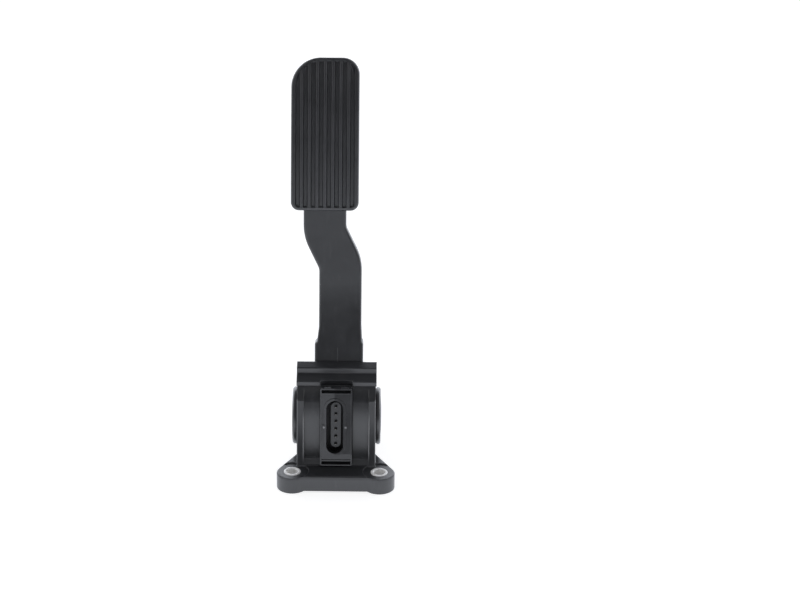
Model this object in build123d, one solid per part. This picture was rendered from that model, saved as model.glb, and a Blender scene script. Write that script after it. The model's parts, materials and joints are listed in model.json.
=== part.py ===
from build123d import *
import math
import os

# Accelerator pedal with a contactless position sensor, in millimetres.
# X runs across the pedal, Y away from the driver, Z up from the mounting plane.
# The origin lies on that plane, midway between the two front bolts.

# mounting flange
front_bolt_spacing = 59.2
rear_bolt_spacing = 32.0
rear_bolt_room = 11.2       # rear bolt row behind the back wall, for a bolt head
lug_radius = 10.6
flange_height = 12.0
lug_drop = 0.8              # bolt seats below the flange top
seat_margin = 0.6           # bolt seats wider than the lugs
plate_lift = 1.0            # flange underside above the lug feet
plate_inset = 2.0           # front and rear edges inside the lug fronts
plate_shoulder = 26.8       # where the slanted sides reach the housing, behind the front bolts
web_radius = 5.0            # hollow corners between lugs and flange edges
flange_skin = 3.0
flange_rim = 3.0
flange_rib = 2.2
flange_bays = 5
flange_edge = 0.7

# bolt sleeves
sleeve_bore = 7.6
sleeve_wall = 2.0
sleeve_proud = 0.3

# housing
body_width = 53.8
side_wall = 3.0
pillar_width = 4.8
pillar_foot = 7.0           # front of the pillars behind the front bolts
pillar_length = 45.3
front_lean_angle = 15.0
recess_depth = 8.0          # connector seat behind the pillar fronts
recess_step = 1.0           # ledge of the recess above the flange
cove_radius = 1.5           # hollow corner between the ledge and the panels
cove_share = 0.9            # most of the ledge's depth that the hollow takes
panel_wall = 2.5
panel_lean_angle = 4.0      # front panels between the pillars
roll_radius = 60.0          # gentle roll of the panels towards the head
roll_lean_angle = 22.0      # where it passes into the brow
brow_radius = 20.0          # tighter roll into the head
brow_share = 0.95           # part of the head's length that the brow takes
head_lean_angle = 53.0
head_length = 11.2
back_wall = 3.0
back_height = 33.0          # back wall above the flange
pillar_edge = 1.2

# top cover
cover_overhang = 0.5
lip_height = 3.2
lip_notch = 3.2
step_depth = 8.0            # sloping step between the lip and the riser
step_rise = 2.6
riser_height = 3.8
riser_setback = 0.3
cover_seat_reach = 27.0     # rear edge of the cover's seat, along the arm from the pivot
cover_rise = 11.6           # rear edge of the roof above the seat, along the arm
cover_land = 1.8            # flat top of the roof
cover_edge = 0.8

# pivot
shaft_diameter = 10.0
shaft_chamfer = 0.6
shaft_end_gap = 0.4
bearing_clearance = 0.05
bush_wall = 1.95
bush_length = 5.4
hub_wall = 3.0
hub_gap = 0.4

# bearing caps
cap_radius = 19.8
cap_lift = 2.2              # cap rim above the flange
cap_flange = 2.6
cap_dome = 0.5
cap_edge = 1.0
cap_groove_radius = 14.5
cap_groove = 0.7
spigot_radius = 17.0
spigot_reach = 1.7          # spigot past the inside of the side wall
spigot_clearance = 0.05
seal_thickness = 0.8
seal_margin = 0.8           # seal inside the cap rim

# return springs
wire_diameter = 2.0
spring_turns = 3.25
chords_per_turn = 12
wire_sides = 8
spring_hub_gap = 2.5
spring_side_gap = 0.8
spring_wall_gap = 2.2
spring_leg_front = 13.5
spring_leg_rear = 15.0
anchor_height = 2.4
peg_radius = 1.8

# friction shell and its saddle
shell_gap = 0.3
shell_wall = 2.0
shell_half_angle = 45.0
shell_width = 14.0
saddle_length = 15.0

# pedal arm
arm_lean_angle = 22.0
pad_lean_angle = 13.0
neck_front = 9.0            # arm faces from the pivot line
neck_back = 9.0
neck_width = 18.0
shank_length = 68.0
bend_radius = 146.0
upper_length = 52.3
pad_length = 103.6
pad_turn_angle = 12.0       # backward curve of the pad
arm_width = 29.2
arm_wall = 3.0
arm_rib = 2.0
arm_rib_bays = 7
lower_offset = 1.9          # middle of the arm from the middle of the housing
upper_offset = -8.9
jog_radius = 21.4
jog_angle = 26.0
jog_below_pad = 26.4
collar_offset = 1.2
collar_margin = 2.1         # collar beyond the arm's width, at each side
collar_height = 52.4        # collar top along the arm from the pivot
collar_step = 1.4
flare_length = 10.0
flare_spread = 0.9
collar_round = 1.0          # rounded steps of the collar's outline
arm_edge = 1.6              # rounded front edges
back_straight = 56.0
spine_share = 0.62          # part of the pad's length that the arm's spine backs
pocket_start = 36.0
drum_radius = 23.0
drum_wall = 2.0
drum_front_angle = -14.0    # angles from upright, to the rear
drum_rear_angle = 70.0
drum_side_gap = 1.0
drum_wall_gap = 0.8

# pedal pad
pad_width = 46.1
pad_proud = 6.8
pad_skirt = 2.0
pad_lip = 1.6
pad_lip_overlap = 3.0
pad_radius_left = 20.0
pad_radius_right = 11.4
pad_radius_bottom = 5.6
pad_edge = 1.4
pad_arm_gap = 0.3
groove_count = 8
groove_pitch = 5.3
groove_width = 2.8
groove_depth = 2.2
groove_rim = 2.4

# stops
arm_gap = 0.8               # cover to the arm's front at rest
buffer_proud = 0.6
buffer_width = 14.0
buffer_height = 5.0
buffer_grip = 2.0
travel_angle = 18.0

# connector and sensor
block_width = 21.8
block_length = 53.9
block_lift = 0.4
block_proud = 2.0
block_gap = 0.15
block_edge = 1.2
gasket_thickness = 1.0
gasket_margin = 0.8
tail_width = 16.6
tail_length = 38.6
tail_gap = 0.2
socket_width = 11.6
socket_length = 36.8
socket_floor = 2.5
socket_rim = 1.6
socket_offset = -0.9        # socket and plug latches from the middle of the block
bridge_width = 7.1          # raised floor that the terminals stand on
bridge_offset = -0.3
bridge_margin = 2.4
bridge_height = 2.2
face_drop = 0.8
slot_width = 20.0
slot_height = 2.2
slot_margin = 1.0
slot_depth = 6.0
latch_size = 1.6
nose_width = 4.4            # latch noses on the block's top
nose_offset = 5.8
nose_height = 0.9
nose_depth = 2.6
nose_setback = 0.5
terminal_count = 6
terminal_pitch = 5.2
terminal_thickness = 0.8
terminal_width = 1.8
terminal_length = 5.4
terminal_tail = 0.7
board_thickness = 1.6
board_width = 16.8
board_length = 34.0
chip_width = 5.0
chip_length = 4.0
chip_thickness = 1.1
chip_offset = 4.6
sensor_gap = 1.2
carrier_width = 16.0
carrier_start_angle = -118.0    # angles from upright, to the rear
carrier_end_angle = -68.0
magnet_thickness = 1.2
magnet_width = 5.0
magnet_angle = 18.0

# sizes that follow
half_width = body_width / 2
inner_half = half_width - side_wall
lug_top = flange_height - lug_drop
floor_low = flange_height - flange_skin
shaft_radius = shaft_diameter / 2
bush_inner = shaft_radius + bearing_clearance
bush_outer = bush_inner + bush_wall
hub_radius = shaft_radius + hub_wall
wire_radius = wire_diameter / 2
spring_radius = hub_radius + spring_hub_gap + wire_radius
spring_outer = spring_radius + wire_radius
front_wall = recess_depth + panel_wall
lean_cosine = math.cos(math.radians(front_lean_angle))
lean_tangent = math.tan(math.radians(front_lean_angle))
cover_top_reach = cover_seat_reach + cover_rise
half_reach = body_width * 2  # past the whole arm, off its middle plane
right_angle = 90.0


# points in the side view are (Y, Z)
def along(angle):
    return Vector(math.sin(math.radians(angle)), math.cos(math.radians(angle)))


def square(angle):
    return Vector(math.cos(math.radians(angle)), -math.sin(math.radians(angle)))


def front_at(height):
    return pillar_foot + (height - flange_height) * lean_tangent


pivot_z = flange_height + cap_lift + cap_radius
pivot_depth = front_wall + spring_wall_gap + spring_outer
pivot_y = front_at(pivot_z) + pivot_depth / lean_cosine
pivot = Vector(pivot_y, pivot_z)
back_inner = pivot_y + drum_radius + drum_wall_gap
back_outer = back_inner + back_wall
back_top = flange_height + back_height
rear_bolt_y = back_outer + rear_bolt_room
cap_seat = half_width + seal_thickness
cap_face = cap_seat + cap_flange
spigot_end = inner_half - spigot_reach
bush_end = spigot_end + bush_length
shaft_half = bush_end - shaft_end_gap
hub_half = spigot_end - hub_gap
drum_half = inner_half - drum_side_gap
crown_radius = pad_length / math.radians(pad_turn_angle)

pillar_bend = Vector(pillar_foot, flange_height) + along(front_lean_angle) * pillar_length
ridge = pillar_bend + along(head_lean_angle) * head_length
arm_front = pivot - square(arm_lean_angle) * neck_front
cover_rear = arm_front - square(arm_lean_angle) * arm_gap
seat_rear = cover_rear + along(arm_lean_angle) * cover_seat_reach
roof_rear = cover_rear + along(arm_lean_angle) * cover_top_reach

mean_lean = (arm_lean_angle + pad_lean_angle) / 2
arm_plane = Plane(
    origin=(0, pivot_y, pivot_z),
    x_dir=(1, 0, 0),
    z_dir=(0, -math.cos(math.radians(mean_lean)), math.sin(math.radians(mean_lean))),
)
front_plane = Plane(
    origin=(0, pillar_foot, flange_height),
    x_dir=(1, 0, 0),
    z_dir=(0, -lean_cosine, math.sin(math.radians(front_lean_angle))),
)
bolts = [
    Vector(front_bolt_spacing / 2, 0),
    Vector(-front_bolt_spacing / 2, 0),
    Vector(rear_bolt_spacing / 2, rear_bolt_y),
    Vector(-rear_bolt_spacing / 2, rear_bolt_y),
]


def polygon(points):
    return make_face(Polyline(*[(p.X, p.Y) for p in points], close=True))


def side_solid(face, x_from, x_to):
    return extrude(Plane.YZ.offset(x_from) * face, amount=x_to - x_from, dir=(1, 0, 0))


def upright(face, z_from, z_to):
    return extrude(Pos(0, 0, z_from) * face, amount=z_to - z_from, dir=(0, 0, 1))


def barrel(radius, x_from, x_to, centre=None):
    place = centre or pivot
    rod = Cylinder(radius, x_to - x_from, align=(Align.CENTER, Align.CENTER, Align.MIN))
    return Pos(x_from, place.X, place.Y) * Rot(0, 90, 0) * rod


def front_box(width, low, high, rear, fore, middle=0):
    # a box on the pillars' plane, from low to high along it and from rear to fore off it
    block = Box(width, high - low, fore - rear)
    return front_plane.location * Pos(middle, (low + high) / 2, (rear + fore) / 2) * block


def front_solid(face, rear, fore):
    return front_plane.location * extrude(Pos(0, 0, rear) * face, amount=fore - rear, dir=(0, 0, 1))


def arm_solid(face):
    return arm_plane.location * extrude(face, amount=half_reach, dir=(0, 0, 1), both=True)


def ring_sector(inner, outer, start, end):
    # a sector round the pivot, its angles from upright to the rear
    rim = CenterArc((pivot.X, pivot.Y), outer, right_angle - end, end - start)
    bore = CenterArc((pivot.X, pivot.Y), inner, right_angle - end, end - start)
    return make_face([rim, bore, Line(rim @ 0, bore @ 0), Line(rim @ 1, bore @ 1)])


def tangent_point(corner, centre, turn):
    # where a line from the corner touches the lug round the centre
    reach = corner - centre
    angle = math.atan2(reach.Y, reach.X) + turn * math.acos(lug_radius / reach.length)
    return centre + Vector(math.cos(angle), math.sin(angle)) * lug_radius


# flange
plate_front = plate_inset - lug_radius
plate_rear = rear_bolt_y + lug_radius - plate_inset


def flange_face():
    shoulder = Vector(half_width, plate_shoulder)
    heel = Vector(half_width, back_inner)
    right = [
        Vector(bolts[0].X, plate_front),
        tangent_point(shoulder, bolts[0], -1),
        shoulder,
        heel,
        tangent_point(heel, bolts[2], 1),
        Vector(bolts[2].X, plate_rear),
    ]
    left = [Vector(-p.X, p.Y) for p in reversed(right)]
    face = polygon(right + left)
    for bolt in bolts:
        face += Pos(bolt.X, bolt.Y) * Circle(lug_radius)
    for edge in (plate_front, plate_rear):
        corners = face.vertices().filter_by_position(Axis.Y, edge - 0.01, edge + 0.01)
        face = fillet(corners, web_radius)
    return face


def lug_disc(radius, z_from, z_to):
    disc = Sketch()
    for bolt in bolts:
        disc += Pos(bolt.X, bolt.Y) * Circle(radius)
    return upright(disc, z_from, z_to)


def flange():
    face = flange_face()
    edge_foot = lug_top - flange_edge
    plate = upright(face, plate_lift, edge_foot)
    plate += Pos(0, 0, edge_foot) * extrude(face, amount=flange_edge, taper=45)
    plate += Pos(0, 0, lug_top) * extrude(offset(face, -flange_edge), amount=lug_drop, taper=45)
    pocket = upright(offset(face, -flange_rim), plate_lift, floor_low)
    length = plate_rear - plate_front
    for bay in range(1, flange_bays):
        rib_y = plate_front + length * bay / flange_bays
        pocket -= Pos(0, rib_y, floor_low / 2) * Box(body_width * 2, flange_rib, floor_low)
    pocket -= Pos(0, plate_front + length / 2, floor_low / 2) * Box(flange_rib, length, floor_low)
    plate -= pocket
    plate += lug_disc(lug_radius, 0, edge_foot)
    plate -= lug_disc(lug_radius + seat_margin, lug_top, flange_height)
    return plate


# housing
def body():
    low = Vector(front_at(floor_low), floor_low)
    outline = [
        low,
        pillar_bend,
        ridge,
        seat_rear,
        Vector(back_inner, back_top),
        Vector(back_outer, back_top),
        Vector(back_outer, floor_low),
    ]
    block = side_solid(polygon(outline), -half_width, half_width)
    fore = block.faces().filter_by(lambda f: abs(f.center().X) < 1).sort_by(Axis.Y)[0]
    uprights = fore.edges().filter_by(lambda e: abs(e.center().X) > half_width - 1)
    return fillet(uprights, pillar_edge)


def recess():
    # in front of the panels, which stand steeper than the pillars and roll over into the head
    ledge = flange_height + recess_step
    rise = along(panel_lean_angle)
    brow_top = pillar_bend + along(head_lean_angle) * (head_length * brow_share)
    brow_foot = brow_top - (square(roll_lean_angle) - square(head_lean_angle)) * brow_radius
    roll_foot = brow_foot - (square(panel_lean_angle) - square(roll_lean_angle)) * roll_radius
    foot = roll_foot - rise * ((roll_foot.Y - ledge) / rise.Y)
    half_cove = math.tan(math.radians((right_angle - panel_lean_angle) / 2))
    depth = foot.X - front_at(ledge)
    cove_size = min(cove_radius, depth * cove_share / half_cove)
    cove = JernArc(foot - Vector(cove_size * half_cove, 0), (1, 0), cove_size, right_angle - panel_lean_angle)
    panel = Line(cove @ 1, roll_foot)
    roll = JernArc(roll_foot, rise, roll_radius, panel_lean_angle - roll_lean_angle)
    brow = JernArc(roll @ 1, along(roll_lean_angle), brow_radius, roll_lean_angle - head_lean_angle)
    fore = Vector(front_at(ledge) - recess_depth, ledge)
    outside = Polyline(brow @ 1, brow @ 1 - square(head_lean_angle) * recess_depth, fore, cove @ 0)
    reach = half_width - pillar_width
    return side_solid(make_face([cove, panel, roll, brow, outside]), -reach, reach)


def interior():
    # the room behind the front wall, open at the top for the cover and the arm
    depth = front_wall / lean_cosine
    ceiling = roof_rear.Y + head_length
    outline = [
        Vector(front_at(flange_height) + depth, flange_height),
        Vector(front_at(ceiling) + depth, ceiling),
        Vector(back_inner, ceiling),
        Vector(back_inner, flange_height),
    ]
    return side_solid(polygon(outline), -inner_half, inner_half)


tail_low = block_lift + (block_length - tail_length) / 2
tail_high = tail_low + tail_length
block_rear = gasket_thickness - recess_depth
tail_rear = -front_wall
shell_inner = hub_radius + shell_gap
shell_outer = shell_inner + shell_wall
outer_coil = hub_half - spring_side_gap / 2 - wire_radius
inner_coil = neck_width / 2 + spring_side_gap + wire_radius
buffer_angle = arm_lean_angle + travel_angle


def saddle():
    top = pivot_z - shell_inner * math.cos(math.radians(shell_half_angle))
    block = Pos(0, pivot_y, flange_height) * Box(
        shell_width, saddle_length, top - flange_height, align=(Align.CENTER, Align.CENTER, Align.MIN)
    )
    return block - barrel(shell_outer, -shell_width, shell_width)


def spring_anchor():
    # a ledge on the front wall that the front spring leg bears up against
    low = pivot_z - spring_radius + wire_radius
    fore = front_at(low) + (recess_depth + panel_wall / 2) / lean_cosine
    tip = pivot_y - spring_leg_front + wire_diameter
    outline = [
        Vector(fore, low),
        Vector(tip, low),
        Vector(tip, low + anchor_height / 2),
        Vector(fore, low + anchor_height * 2),
    ]
    return side_solid(polygon(outline), outer_coil - wire_diameter, hub_half)


def full_stop_face():
    # the buffer under the arm's back at full travel, its top parallel to that face
    contact = pivot + square(buffer_angle) * neck_back
    reach = ((back_inner + back_outer) / 2 - contact.X) / along(buffer_angle).X
    top = contact + along(buffer_angle) * reach + square(buffer_angle) * (arm_gap - buffer_proud)
    slope = along(buffer_angle).Y / along(buffer_angle).X
    outline = [
        Vector(back_inner, back_top),
        Vector(back_outer, back_top),
        Vector(back_outer, top.Y + slope * (back_outer - top.X)),
        Vector(back_inner, top.Y + slope * (back_inner - top.X)),
    ]
    return polygon(outline)


def housing():
    shape = body() + flange()
    shape -= interior()
    shape -= recess()
    shape -= front_box(
        block_width + 2 * block_gap, 0, block_lift + block_length + block_gap, -recess_depth, recess_depth
    )
    shape -= front_box(tail_width + 2 * tail_gap, tail_low - tail_gap, tail_high + tail_gap, tail_rear * 2, 0)
    shape -= barrel(spigot_radius, -half_width - 1, half_width + 1)
    shape += saddle()
    anchor = spring_anchor()
    shape += anchor
    shape += mirror(anchor, Plane.YZ)
    key = full_stop_key()
    shape -= key
    shape -= lug_disc(sleeve_bore / 2 + sleeve_wall, -1, flange_height + 1)
    return shape


def full_stop_key():
    # the buffer's foot, held in the back wall
    return Pos(0, (back_inner + back_outer) / 2, back_top - buffer_grip / 2) * Box(
        buffer_width - 2 * buffer_grip, back_wall, buffer_grip
    )


def full_throttle_buffer():
    return side_solid(full_stop_face(), -buffer_width / 2, buffer_width / 2) + full_stop_key()


def mounting_sleeves():
    sleeves = []
    for bolt in bolts:
        tube = Circle(sleeve_bore / 2 + sleeve_wall) - Circle(sleeve_bore / 2)
        sleeves.append(upright(Pos(bolt.X, bolt.Y) * tube, 0, lug_top + sleeve_proud))
    return sleeves


# top cover
def idle_slot(fore, rear):
    low = cover_seat_reach + (cover_top_reach - cover_seat_reach - buffer_height) / 2
    foot = cover_rear + along(arm_lean_angle) * low
    back = square(arm_lean_angle)
    up = along(arm_lean_angle) * buffer_height
    outline = [foot - back * fore, foot + back * rear, foot + back * rear + up, foot - back * fore + up]
    middle = collar_offset
    return side_solid(polygon(outline), middle - buffer_width / 2, middle + buffer_width / 2)


def top_cover():
    lip = ridge + Vector(0, lip_height)
    step = lip + Vector(step_depth, step_rise)
    riser = step + Vector(riser_setback, riser_height)
    crest = roof_rear - Vector(cover_land, 0)
    face = polygon([ridge, lip, step, riser, crest, roof_rear, seat_rear])
    for corner in (lip, step, riser, crest, roof_rear):
        spot = face.vertices().sort_by_distance((corner.X, corner.Y))[0]
        face = fillet(spot, cover_edge)
    cover = side_solid(face, -half_width - cover_overhang, half_width + cover_overhang)
    cover -= idle_slot(buffer_grip, buffer_grip)
    notch = Pos(0, ridge.X, ridge.Y + lip_height / 2) * Box(block_width, lip_notch, lip_height * 2)
    return cover - notch


def idle_stop_buffer():
    return idle_slot(buffer_grip, buffer_proud)


# bearing caps, seals and bushes, drawn on the right and mirrored to the left
cap_plane = Plane(origin=(0, pivot_y, pivot_z), x_dir=(1, 0, 0), z_dir=(0, -1, 0))
pivot_axis = Axis((0, pivot_y, pivot_z), (1, 0, 0))


def turned(points):
    face = make_face(Polyline(*points, close=True))
    return revolve(cap_plane * face, axis=pivot_axis)


def bearing_cap():
    groove_in = cap_groove_radius - cap_groove
    groove_out = cap_groove_radius + cap_groove
    fit = spigot_radius - spigot_clearance
    return turned([
        (spigot_end, bush_outer),
        (spigot_end, fit),
        (cap_seat, fit),
        (cap_seat, cap_radius),
        (cap_face - cap_edge, cap_radius),
        (cap_face, cap_radius - cap_edge),
        (cap_face, groove_out),
        (cap_face - cap_groove, cap_groove_radius),
        (cap_face, groove_in),
        (cap_face + cap_dome, bush_outer),
        (cap_face + cap_dome, 0),
        (bush_end, 0),
        (bush_end, bush_outer),
    ])


def cap_seal():
    return turned([
        (half_width, spigot_radius),
        (half_width, cap_radius - seal_margin),
        (cap_seat, cap_radius - seal_margin),
        (cap_seat, spigot_radius),
    ])


def bush():
    return turned([
        (spigot_end, bush_inner),
        (spigot_end, bush_outer),
        (bush_end, bush_outer),
        (bush_end, bush_inner),
    ])


def pivot_shaft():
    rod = barrel(shaft_radius, -shaft_half, shaft_half)
    return chamfer(rod.edges().filter_by(GeomType.CIRCLE), shaft_chamfer)


def return_spring():
    # right-hand spring: front leg, coil from the bottom round by the rear, upright rear leg
    chords = round(spring_turns * chords_per_turn)
    points = [(outer_coil, pivot_y - spring_leg_front, pivot_z - spring_radius)]
    for index in range(chords + 1):
        angle = math.radians(180 - 360 * spring_turns * index / chords)
        points.append((
            outer_coil + (inner_coil - outer_coil) * index / chords,
            pivot_y + spring_radius * math.sin(angle),
            pivot_z + spring_radius * math.cos(angle),
        ))
    points.append((inner_coil, pivot_y + spring_radius, pivot_z + spring_leg_rear))
    wire = Polyline(*points)
    section = Plane(wire @ 0, z_dir=wire % 0) * RegularPolygon(wire_radius, wire_sides)
    return sweep(section, path=wire, transition=Transition.RIGHT)


def friction_shell():
    face = ring_sector(shell_inner, shell_outer, 180 - shell_half_angle, 180 + shell_half_angle)
    return side_solid(face, -shell_width / 2, shell_width / 2)


# pedal arm
def front_edges(depth):
    # the arm's front face from the pivot to the top of the pad, set back by the depth
    foot = arm_front + square(arm_lean_angle) * depth
    shank = Line(foot, foot + along(arm_lean_angle) * shank_length)
    bend = JernArc(shank @ 1, along(arm_lean_angle), bend_radius + depth, arm_lean_angle - pad_lean_angle)
    upper = Line(bend @ 1, bend @ 1 + along(pad_lean_angle) * upper_length)
    crown = JernArc(upper @ 1, along(pad_lean_angle), crown_radius - depth, -pad_turn_angle)
    return [shank, bend, upper, crown]


def layer(fore, rear):
    # the slab between two depths behind the arm's front face
    front = front_edges(fore)
    back = front_edges(rear)
    foot = Line(front[0] @ 0, back[0] @ 0)
    top = Line(front[3] @ 1, back[3] @ 1)
    return make_face([*front, *back, foot, top])


def height_on_arm(point):
    return (Vector(point.X, point.Y) - pivot).dot(along(mean_lean))


pad_foot = height_on_arm(front_edges(0)[3] @ 0)
pad_head = height_on_arm(front_edges(0)[3] @ 1)
jog_shift = lower_offset - upper_offset
jog_sine = math.sin(math.radians(jog_angle))
jog_cosine = math.cos(math.radians(jog_angle))
jog_straight = (jog_shift - 2 * jog_radius * (1 - jog_cosine)) / jog_sine
jog_rise = 2 * jog_radius * jog_sine + jog_straight * jog_cosine
jog_foot = pad_foot - jog_below_pad - jog_rise / 2


def arm_profile():
    front = front_edges(0)
    crown = front_edges(arm_wall)[3]
    tip_turn = pad_turn_angle * (1 - spine_share)
    tip = JernArc(crown @ spine_share, crown % spine_share, crown_radius - arm_wall, -tip_turn)
    root = pivot + square(arm_lean_angle) * neck_back
    back = Line(root, root + along(arm_lean_angle) * back_straight)
    spine = Spline([back @ 1, tip @ 0], tangents=[along(arm_lean_angle), tip % 0])
    foot = Line(front[0] @ 0, root)
    top = Line(front[3] @ 1, tip @ 1)
    return make_face([*front, top, tip, spine, back, foot])


def band_side(side, half, low, high):
    # one edge of the sideways bend, upwards from low to high
    x = lower_offset + side * half
    first = Line((x, low), (x, jog_foot))
    leave = JernArc((x, jog_foot), (0, 1), jog_radius + side * half, jog_angle)
    cross = Line(leave @ 1, leave @ 1 + (leave % 1) * jog_straight)
    arrive = JernArc(cross @ 1, cross % 1, jog_radius - side * half, -jog_angle)
    last = Line(arrive @ 1, ((arrive @ 1).X, high))
    return [first, leave, cross, arrive, last]


def band(half, low, high):
    right = band_side(1, half, low, high)
    left = band_side(-1, half, low, high)
    ends = [Line(right[0] @ 0, left[0] @ 0), Line(right[4] @ 1, left[4] @ 1)]
    return make_face([*right, *left, *ends])


def collar():
    half = arm_width / 2
    base = half + collar_margin
    low = drum_radius - drum_wall
    flare = collar_height + flare_length
    shift = (collar_offset + lower_offset) / 2
    points = []
    for side in (1, -1):
        edge = [
            Vector(collar_offset + side * base, low),
            Vector(collar_offset + side * base, collar_height - collar_step),
            Vector(shift + side * (half + flare_spread), collar_height),
            Vector(lower_offset + side * half, flare),
        ]
        points += edge if side > 0 else edge[::-1]
    return polygon(points)


def pad_outline(inset):
    face = Pos(upper_offset, (pad_foot + pad_head) / 2) * Rectangle(pad_width, pad_head - pad_foot)
    left = upper_offset - pad_width / 2
    right = upper_offset + pad_width / 2
    corners = [
        (left, pad_head, pad_radius_left),
        (right, pad_head, pad_radius_right),
        (left, pad_foot, pad_radius_bottom),
        (right, pad_foot, pad_radius_bottom),
    ]
    for x, y, radius in corners:
        face = fillet(face.vertices().sort_by_distance((x, y))[0], radius)
    return offset(face, -inset) if inset else face


spine_head = pad_foot + (pad_head - pad_foot) * spine_share


def arm_pocket():
    # the hollow back of the arm, crossed by ribs
    half = arm_width / 2
    front = front_edges(arm_wall)
    rear = front_edges(neck_front + neck_back + arm_wall)
    edges = [*front, *rear, Line(front[0] @ 0, rear[0] @ 0), Line(front[3] @ 1, rear[3] @ 1)]
    high = spine_head - arm_width / 2
    hollow = arm_solid(band(half - arm_wall, pocket_start, high))
    ribs = arm_solid(band(arm_rib / 2, pocket_start, high))
    for bay in range(1, arm_rib_bays):
        rib_height = pocket_start + (high - pocket_start) * bay / arm_rib_bays
        ribs += arm_solid(Pos(upper_offset / 2, rib_height) * Rectangle(body_width, arm_rib))
    return side_solid(make_face(edges), -body_width, body_width) & (hollow - ribs)


def collar_steps(outline):
    low = collar_height - collar_step
    return outline.vertices().filter_by_position(Axis.Y, low - 0.1, collar_height + flare_length + 0.1)


def round_front(limb):
    # rounds the long edges of the arm's front face, and leaves its two ends square
    front = Wire(front_edges(0))
    rounded = []
    for edge in limb.edges():
        middle = edge.position_at(0.5)
        across = abs(edge.position_at(1).X - edge.position_at(0).X)
        if front.distance_to(Vertex(middle.Y, middle.Z, 0)) < 0.02 and across < 0.98 * edge.length:
            rounded.append(edge)
    return fillet(rounded, arm_edge)


def pedal_arm():
    profile = side_solid(arm_profile(), -body_width, body_width)
    outline = band(arm_width / 2, collar_height - collar_step, spine_head) + collar()
    limb = round_front(profile & arm_solid(fillet(collar_steps(outline), collar_round)))
    plate = side_solid(layer(0, arm_wall), -body_width, body_width) & arm_solid(pad_outline(pad_skirt))
    limb += plate
    limb -= arm_pocket()
    limb += profile & arm_solid(Pos(0, drum_radius / 2) * Rectangle(neck_width, drum_radius))
    drum = ring_sector(drum_radius - drum_wall, drum_radius, drum_front_angle, drum_rear_angle)
    limb += side_solid(drum, -drum_half, drum_half)
    limb += barrel(hub_radius, -hub_half, hub_half)
    peg = Vector(
        pivot_y + spring_radius - wire_radius - peg_radius,
        pivot_z + spring_leg_rear - peg_radius - wire_radius,
    )
    peg_reach = inner_coil + wire_radius
    limb += barrel(peg_radius, -peg_reach, peg_reach, peg)
    return limb - barrel(shaft_radius, -hub_half - 1, hub_half + 1)


# pedal pad
def slab(fore, rear):
    return side_solid(layer(fore, rear), -body_width, body_width)


def pedal_pad():
    clear_of_arm = arm_width / 2 + pad_arm_gap
    rear = arm_wall + pad_lip
    pad = slab(-pad_proud, rear) & arm_solid(pad_outline(0))
    fore = pad.faces().filter_by(lambda f: f.area > pad_width * pad_length / 2).sort_by(Axis.Y)[0]
    pad = fillet(fore.edges(), pad_edge)
    pad -= slab(0, arm_wall) & arm_solid(pad_outline(pad_skirt))
    pad -= slab(0, rear + 1) & arm_solid(pad_outline(pad_skirt + pad_lip_overlap))
    pad -= slab(0, rear + 1) & arm_solid(band(clear_of_arm, collar_height, spine_head))
    grooves = Sketch()
    for index in range(groove_count):
        x = upper_offset + (index - (groove_count - 1) / 2) * groove_pitch
        grooves += Pos(x, (pad_foot + pad_head) / 2) * Rectangle(groove_width, pad_head - pad_foot)
    grooves &= pad_outline(groove_rim)
    pad -= slab(-pad_proud - 1, groove_depth - pad_proud) & arm_solid(grooves)
    return pad


# connector and sensor
block_low = block_lift
block_high = block_lift + block_length
socket_middle = (block_low + block_high) / 2
socket_bottom = socket_floor - front_wall
sensor_height = (Vector(pivot_y - pillar_foot, pivot_z - flange_height)).dot(along(front_lean_angle))
board_rear = tail_rear - board_thickness
chip_rear = board_rear - chip_thickness
magnet_radius = pivot_depth + chip_rear - sensor_gap
terminal_places = [
    socket_middle + (index - (terminal_count - 1) / 2) * terminal_pitch for index in range(terminal_count)
]


def slot_face(low, high, width):
    return Pos(0, (low + high) / 2) * Rectangle(width, high - low)


def socket_face(margin):
    oval = SlotOverall(socket_length + 2 * margin, socket_width + 2 * margin)
    return Pos(socket_offset, socket_middle) * Rot(0, 0, 90) * oval


def bridge_face():
    length = terminal_places[-1] - terminal_places[0] + terminal_thickness + 2 * bridge_margin
    return Pos(bridge_offset, socket_middle) * Rot(0, 0, 90) * SlotOverall(length, bridge_width)


def terminals(rear, fore):
    blades = []
    for place in terminal_places:
        low = place - terminal_thickness / 2
        high = place + terminal_thickness / 2
        blades.append(front_box(terminal_width, low, high, rear, fore, bridge_offset))
    return blades


def connector_block():
    block = front_box(block_width, block_low, block_high, block_rear, block_proud)
    corners = block.edges().filter_by(Axis((0, 0, 0), front_plane.z_dir))
    block = fillet(corners, block_edge)
    block += front_box(tail_width, tail_low, tail_high, tail_rear, block_rear)
    panel = slot_face(block_low + slot_margin * 2 + slot_height, block_high - slot_margin * 2 - slot_height,
                      block_width - 2 * slot_margin)
    block -= front_solid(panel - socket_face(socket_rim), block_proud - face_drop, block_proud + 1)
    block -= front_solid(socket_face(0), socket_bottom, block_proud + 1)
    block += front_solid(bridge_face(), socket_bottom, socket_bottom + bridge_height)
    for low in (block_low + slot_margin, block_high - slot_margin - slot_height):
        slot = slot_face(low, low + slot_height, slot_width)
        block -= front_solid(slot, block_proud - slot_depth, block_proud + 1)
    for side in (1, -1):
        x = socket_offset + side * (socket_width / 2 + socket_rim)
        block += front_box(
            latch_size, socket_middle - latch_size, socket_middle + latch_size,
            block_proud - face_drop * 2, block_proud + face_drop / 2, x,
        )
    nose_front = block_proud - nose_setback
    for x in (-nose_offset, nose_offset):
        block += front_box(nose_width, block_high - nose_height, block_high + nose_height,
                           nose_front - nose_depth, nose_front, x)
    for blade in terminals(tail_rear - 1, socket_bottom + terminal_length):
        block -= blade
    return block


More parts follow.
